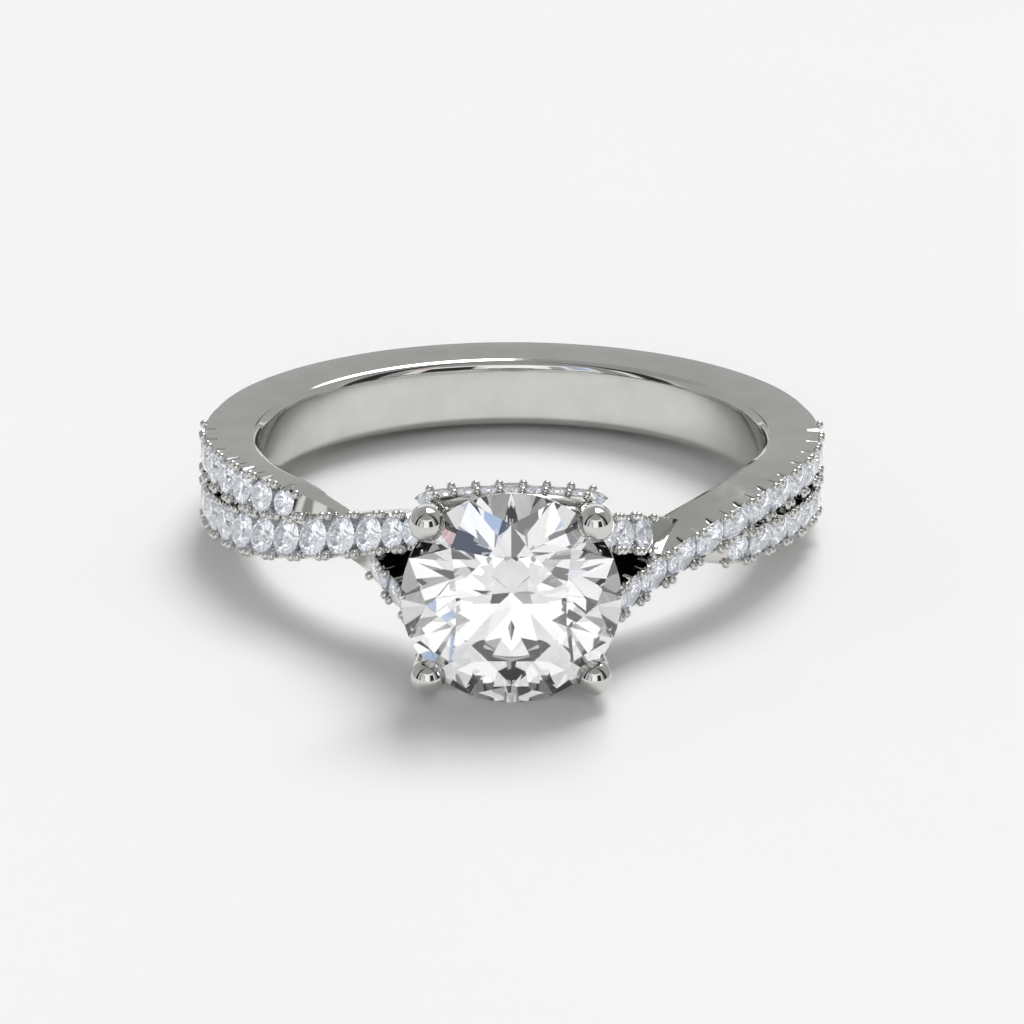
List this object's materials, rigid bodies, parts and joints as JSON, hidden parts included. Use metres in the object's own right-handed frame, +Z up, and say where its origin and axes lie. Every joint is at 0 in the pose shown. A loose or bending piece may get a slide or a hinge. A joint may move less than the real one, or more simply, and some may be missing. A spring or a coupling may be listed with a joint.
{
  "type": "split shank ring",
  "caption": "Finger ring whose band splits into crossing pave-set strands that rise to a four-prong basket holding a round brilliant.",
  "frame": {"origin": "middle of the ring's footprint, on the surface that it lies on", "axes": "+Y from the centre stone towards the back of the band, +Z up, +X across; the ring lies on its side, so the finger hole's axis is 4.86 degrees off +Z"},
  "size_m": [0.0202, 0.0245, 0.0066],
  "materials": {
    "mount_metal": "polished white gold",
    "centre_gem": "cut and polished colourless stone",
    "pave_gems": "cut and polished colourless stones"
  },
  "bodies": {
    "root": {"ring_mount": "mount_metal", "centre_stone": "centre_gem", "pave_over_left": "pave_gems", "pave_over_right": "pave_gems", "pave_under_left": "pave_gems", "pave_under_right": "pave_gems", "pave_bridge_upper": "pave_gems", "pave_bridge_lower": "pave_gems"}
  },
  "joints": []
}
